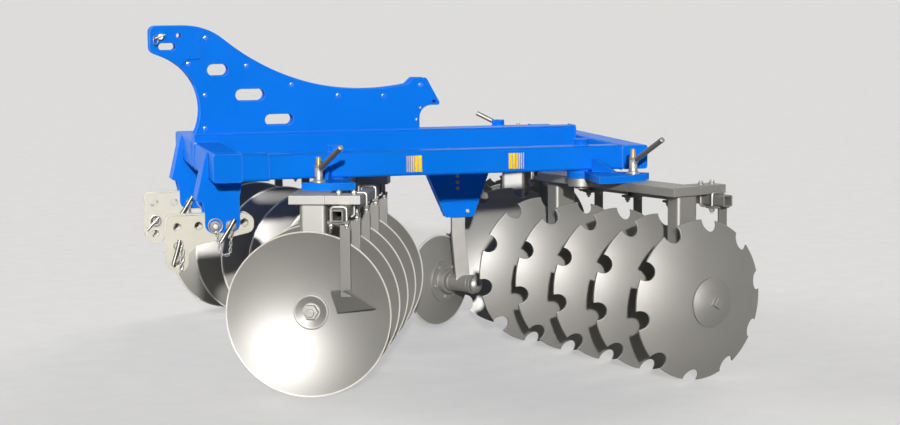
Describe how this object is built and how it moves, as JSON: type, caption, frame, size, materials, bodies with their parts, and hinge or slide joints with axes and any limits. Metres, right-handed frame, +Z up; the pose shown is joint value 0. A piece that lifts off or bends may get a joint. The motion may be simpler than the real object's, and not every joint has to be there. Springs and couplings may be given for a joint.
{
  "type": "mounted disc harrow",
  "caption": "Mounted tandem disc harrow: angled gangs of dished discs swivel under a blue tube frame with a hitch tower, scrapers and a small centre disc.",
  "frame": {"origin": "on the ground under the middle of the harrow's box, at the height of the discs' lowest edges", "axes": "+X to the rear of the machine, +Y to its right, +Z up"},
  "size_m": [2.036, 2.3314, 1.231],
  "materials": {
    "frame_blue": "gloss",
    "gang_silver": "satin",
    "disc_silver": "satin",
    "hitch_cream": "satin",
    "bare_steel": "satin"
  },
  "bodies": {
    "frame": {"centre_beam": "frame_blue", "front_cross": "frame_blue", "rear_cross": "frame_blue", "side_beam_left": "frame_blue", "side_beam_right": "frame_blue", "clamp_plate_front_left": "frame_blue", "clamp_plate_front_right": "frame_blue", "clamp_plate_rear_left": "frame_blue", "clamp_plate_rear_right": "frame_blue", "tower_plates": "frame_blue", "tower_spacers": "frame_blue", "tower_head": "frame_blue", "hitch_bracket_left": "frame_blue", "hitch_bracket_right": "frame_blue", "hitch_plates_left": "hitch_cream", "hitch_plates_right": "hitch_cream", "hitch_pins": "bare_steel", "centre_bracket": "frame_blue", "centre_arm": "gang_silver"},
    "centre_rotor": {"centre_hub": "gang_silver", "centre_disc": "disc_silver"},
    "gang_front_left": {"gang_beam_front_left": "gang_silver", "hangers_front_left": "gang_silver", "clamp_nut_front_left": "bare_steel", "scrapers_front_left": "gang_silver"},
    "roller_front_left": {"discs_front_left": "disc_silver", "axle_front_left": "gang_silver"},
    "gang_front_right": {"gang_beam_front_right": "gang_silver", "hangers_front_right": "gang_silver", "clamp_nut_front_right": "bare_steel", "scrapers_front_right": "gang_silver"},
    "roller_front_right": {"discs_front_right": "disc_silver", "axle_front_right": "gang_silver"},
    "gang_rear_left": {"gang_beam_rear_left": "gang_silver", "hangers_rear_left": "gang_silver", "clamp_nut_rear_left": "bare_steel", "scrapers_rear_left": "gang_silver"},
    "roller_rear_left": {"discs_rear_left": "disc_silver", "axle_rear_left": "gang_silver"},
    "gang_rear_right": {"gang_beam_rear_right": "gang_silver", "hangers_rear_right": "gang_silver", "clamp_nut_rear_right": "bare_steel", "scrapers_rear_right": "gang_silver"},
    "roller_rear_right": {"discs_rear_right": "disc_silver", "axle_rear_right": "gang_silver"}
  },
  "joints": [
    {"name": "centre_disc_roll", "type": "hinge", "parent": "frame", "child": "centre_rotor", "pos_m": [0.18195, -0.01, 0.212], "axis": [0.5736, -0.8192, 0], "continuous": true},
    {"name": "swivel_front_left", "type": "hinge", "parent": "frame", "child": "gang_front_left", "pos_m": [-0.42605, -0.56, 0.65], "axis": [0, 0, -1], "range_deg": [-6, 4]},
    {"name": "roll_front_left", "type": "hinge", "parent": "gang_front_left", "child": "roller_front_left", "pos_m": [-0.60271, -0.97728, 0.28], "axis": [0.342, 0.9397, 0], "continuous": true},
    {"name": "swivel_front_right", "type": "hinge", "parent": "frame", "child": "gang_front_right", "pos_m": [-0.42605, 0.56, 0.65], "axis": [0, 0, 1], "range_deg": [-6, 4]},
    {"name": "roll_front_right", "type": "hinge", "parent": "gang_front_right", "child": "roller_front_right", "pos_m": [-0.60271, 0.97728, 0.28], "axis": [0.342, -0.9397, 0], "continuous": true},
    {"name": "swivel_rear_left", "type": "hinge", "parent": "frame", "child": "gang_rear_left", "pos_m": [0.48895, -0.56, 0.65], "axis": [0, 0, 1], "range_deg": [-6, 4]},
    {"name": "roll_rear_left", "type": "hinge", "parent": "gang_rear_left", "child": "roller_rear_left", "pos_m": [0.75261, -1.05428, 0.28], "axis": [-0.342, 0.9397, 0], "continuous": true},
    {"name": "swivel_rear_right", "type": "hinge", "parent": "frame", "child": "gang_rear_right", "pos_m": [0.48895, 0.56, 0.65], "axis": [0, 0, -1], "range_deg": [-6, 4]},
    {"name": "roll_rear_right", "type": "hinge", "parent": "gang_rear_right", "child": "roller_rear_right", "pos_m": [0.75261, 1.05428, 0.28], "axis": [-0.342, -0.9397, 0], "continuous": true}
  ]
}
